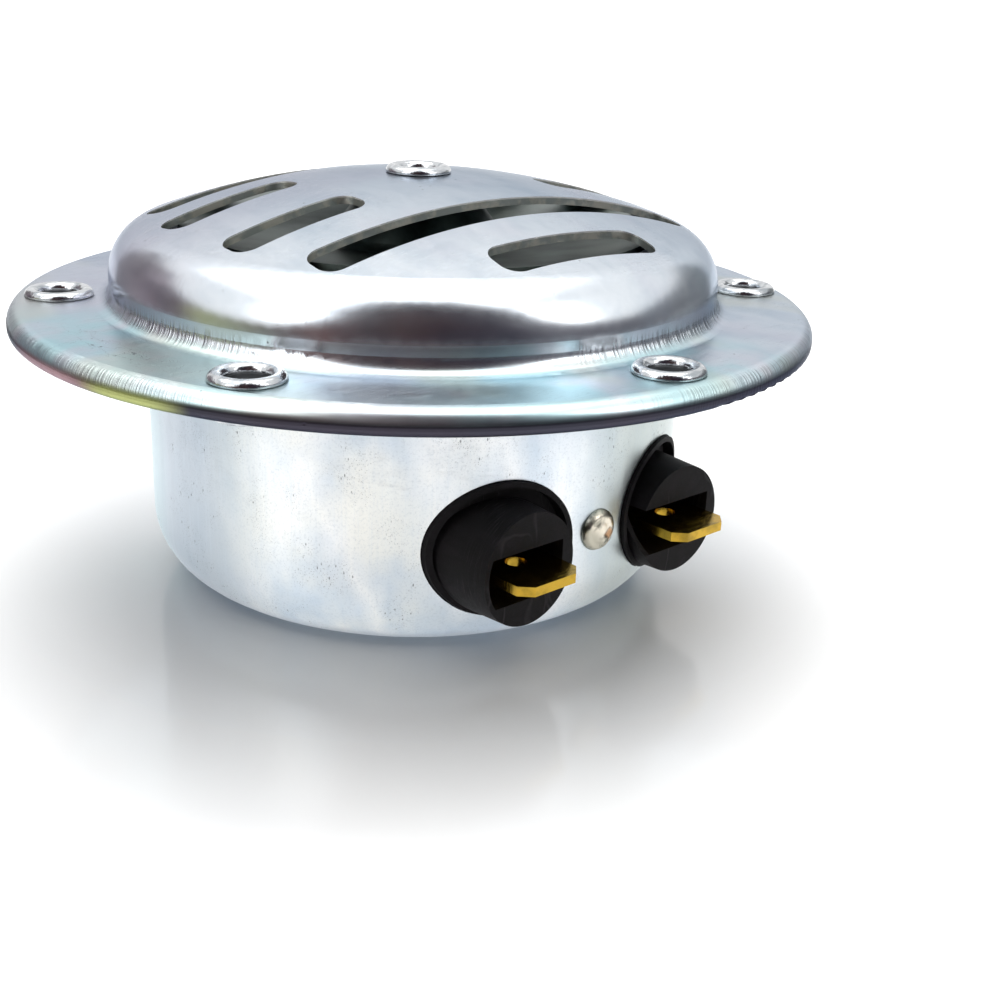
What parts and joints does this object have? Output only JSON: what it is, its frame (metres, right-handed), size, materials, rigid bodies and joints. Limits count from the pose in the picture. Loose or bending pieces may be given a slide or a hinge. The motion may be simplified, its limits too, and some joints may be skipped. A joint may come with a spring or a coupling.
{
  "type": "car horn",
  "caption": "Small round disc horn with a slotted domed grille, an eyeleted flange, a deep bowl and two blade terminals.",
  "frame": {"origin": "middle of the flat back, on the horn's axis", "axes": "+Z along the horn's axis towards the grille; -Y the way the two blade terminals point; +X completes the frame"},
  "size_m": [0.07, 0.07, 0.0361],
  "materials": {
    "zinc_cover": "semi-gloss blue-white zinc plate, lightly scratched",
    "zinc_housing": "satin zinc plate with vertical draw lines",
    "plated_eyelet": "bright zinc plate",
    "dark_plate": "dark passivated steel",
    "gasket_board": "pressed fibre board",
    "spring_steel": "blued spring steel",
    "soft_iron": "plated soft iron",
    "fastener_steel": "zinc plated steel",
    "bobbin_plastic": "natural nylon",
    "copper_wire": "enamelled copper winding",
    "breaker_fibre": "red vulcanised fibre",
    "bronze_spring": "rolled phosphor bronze",
    "contact_metal": "tungsten contact",
    "terminal_plastic": "matt black moulding",
    "blade_brass": "yellow brass",
    "rivet_metal": "spun rivet with a cream lacquer",
    "wire_cover": "black sleeve"
  },
  "bodies": {
    "root": {"housing": "zinc_housing", "cover": "zinc_cover", "flange_eyelets": "plated_eyelet", "centre_eyelet": "plated_eyelet", "baffle": "dark_plate", "rear_gasket": "gasket_board", "diaphragm": "spring_steel", "front_gasket": "gasket_board", "armature": "soft_iron", "clamp_washers": "fastener_steel", "armature_nut": "fastener_steel", "pole_core": "soft_iron", "yoke": "soft_iron", "pole_plate": "soft_iron", "bobbin": "bobbin_plastic", "coil": "copper_wire", "breaker_insulators": "breaker_fibre", "contact_spring": "bronze_spring", "trip_button": "breaker_fibre", "contact_bracket": "fastener_steel", "contact_points": "contact_metal", "breaker_rivets": "rivet_metal", "adjusting_screw": "fastener_steel", "terminal_block": "terminal_plastic", "feed_blade": "blade_brass", "breaker_blade": "blade_brass", "block_rivet": "rivet_metal", "leads": "wire_cover"}
  },
  "joints": []
}
